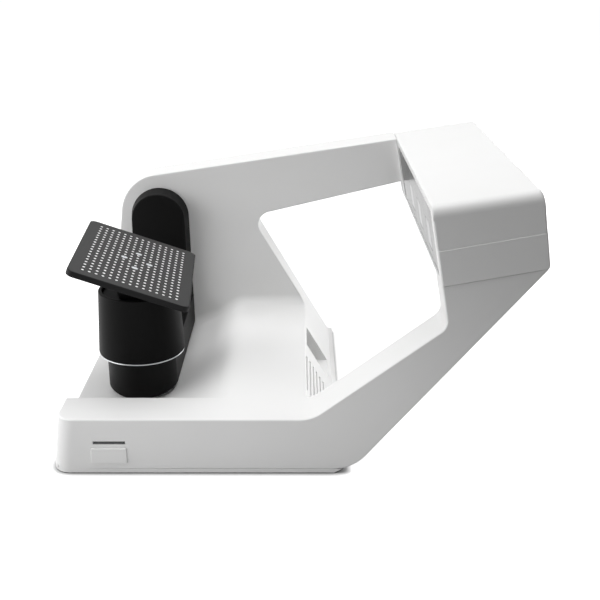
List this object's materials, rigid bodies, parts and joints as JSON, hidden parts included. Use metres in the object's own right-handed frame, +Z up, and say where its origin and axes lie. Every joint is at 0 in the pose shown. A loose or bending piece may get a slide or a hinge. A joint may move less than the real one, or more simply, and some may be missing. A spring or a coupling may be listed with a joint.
{
  "type": "desktop 3d scanner",
  "caption": "Desktop 3-D scanner: open white frame, raised optics head, and a black swing arm with a turntable drum and a tilted dotted plate.",
  "frame": {"origin": "on the table under the middle of the whole object", "axes": "+Z up, +X from the swing arm towards the optics head, +Y from the button side to the wall that carries the arm"},
  "size_m": [0.3482, 0.2732, 0.21],
  "materials": {
    "white_shell": "fine satin moulded",
    "black_shell": "satin",
    "plate_coat": "matt black coat with white dots",
    "rubber": "matt",
    "steel": "turned",
    "smoked_lens": "smoked clear",
    "circuit_board": "solder mask",
    "black_metal": "anodised black",
    "dark_glass": "coated",
    "aluminium": "satin"
  },
  "bodies": {
    "casing": {"main_housing": "white_shell", "bottom_plate": "white_shell", "rear_cover": "white_shell", "head_tray": "white_shell", "head_cover": "white_shell", "foot_1": "rubber", "foot_2": "rubber", "foot_3": "rubber", "foot_4": "rubber", "swing_belt": "rubber", "bottom_screw_1": "steel", "bottom_screw_2": "steel", "bottom_screw_3": "steel", "bottom_screw_4": "steel", "rear_screw_1": "steel", "rear_screw_2": "steel", "rear_screw_3": "steel", "rear_screw_4": "steel", "head_screw_1": "steel", "head_screw_2": "steel", "indicator_strip": "smoked_lens", "button_board": "circuit_board", "main_board": "circuit_board", "power_inlet": "black_metal", "front_camera": "black_metal", "rear_camera": "black_metal", "projector": "black_metal", "swing_motor": "black_metal", "data_port": "steel", "swing_bearing_1": "steel", "swing_bearing_2": "steel", "optics_bezel": "black_shell", "front_camera_window": "dark_glass", "projector_window": "dark_glass", "rear_camera_window": "dark_glass", "front_camera_lens": "dark_glass", "rear_camera_lens": "dark_glass", "projector_lens": "dark_glass", "optics_rail": "aluminium"},
    "swing": {"swing_arm": "black_shell", "swing_shaft": "steel", "swing_pulley": "aluminium", "drum_trim_ring": "aluminium", "drum_base": "black_metal", "drum_shell": "black_shell", "spin_motor": "black_metal", "spin_bearing": "steel"},
    "turntable": {"spindle": "steel", "turntable": "black_shell", "plate_stand": "black_shell", "dotted_plate": "plate_coat", "plate_screw_1": "steel", "plate_screw_2": "steel", "plate_screw_3": "steel", "plate_screw_4": "steel"},
    "motor_pinion": {"motor_pinion": "aluminium"},
    "button": {"power_button": "white_shell"}
  },
  "joints": [
    {"name": "arm_swing", "type": "hinge", "parent": "casing", "child": "swing", "pos_m": [-0.12149, 0.0946, 0.1287], "axis": [0, 1, 0], "range_deg": [-30, 90]},
    {"name": "turntable_spin", "type": "hinge", "parent": "swing", "child": "turntable", "pos_m": [-0.12149, -0.0312, 0.1037], "axis": [0, 0, 1], "continuous": true},
    {"name": "motor_spin", "type": "hinge", "parent": "casing", "child": "motor_pinion", "pos_m": [-0.06859, 0.1266, 0.081], "axis": [0, 1, 0], "range_deg": [-120, 360]},
    {"name": "button_press", "type": "slide", "parent": "casing", "child": "button", "axis": [0, 1, 0], "range_m": [0, 0.0015], "stiffness_N_per_m": 800, "springref_m": -0.001}
  ],
  "couplings": [
    {"joint": "motor_spin", "follows": "arm_swing", "ratio": 4}
  ]
}
